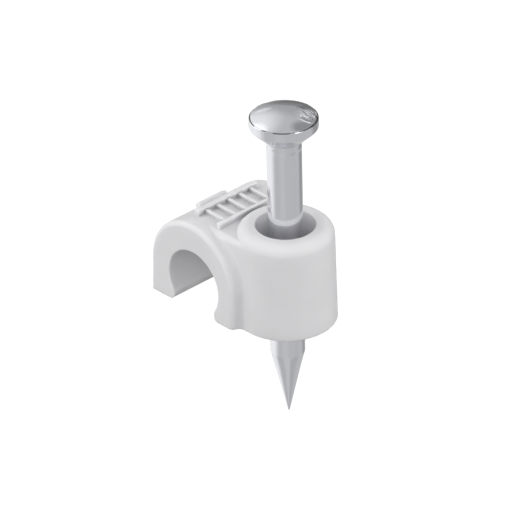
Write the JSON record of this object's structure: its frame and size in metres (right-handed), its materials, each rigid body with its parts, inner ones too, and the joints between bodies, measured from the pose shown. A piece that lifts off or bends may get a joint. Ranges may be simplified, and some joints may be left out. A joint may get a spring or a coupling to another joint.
{
  "type": "nail in cable clip",
  "caption": "Moulded light grey cable clip: an arched saddle holds a round cable to a wall, and a steel nail in the boss beside it fixes it.",
  "frame": {"origin": "where the axis of the nail meets the flat wall face of the clip", "axes": "+Z along the nail, out of the wall and towards its head; +Y along the cable; the saddle lies on the -X side of the boss"},
  "size_m": [0.0107, 0.0068, 0.0198],
  "materials": {
    "moulding": "smooth satin moulded polymer",
    "steel": "bright zinc plated, lightly drawn"
  },
  "bodies": {
    "clip": {"clip_body": "moulding"},
    "driven_nail": {"nail": "steel"}
  },
  "joints": [
    {"name": "nail_drive", "type": "slide", "parent": "clip", "child": "driven_nail", "axis": [0, 0, 1], "range_m": [-0.00613, 0]}
  ]
}
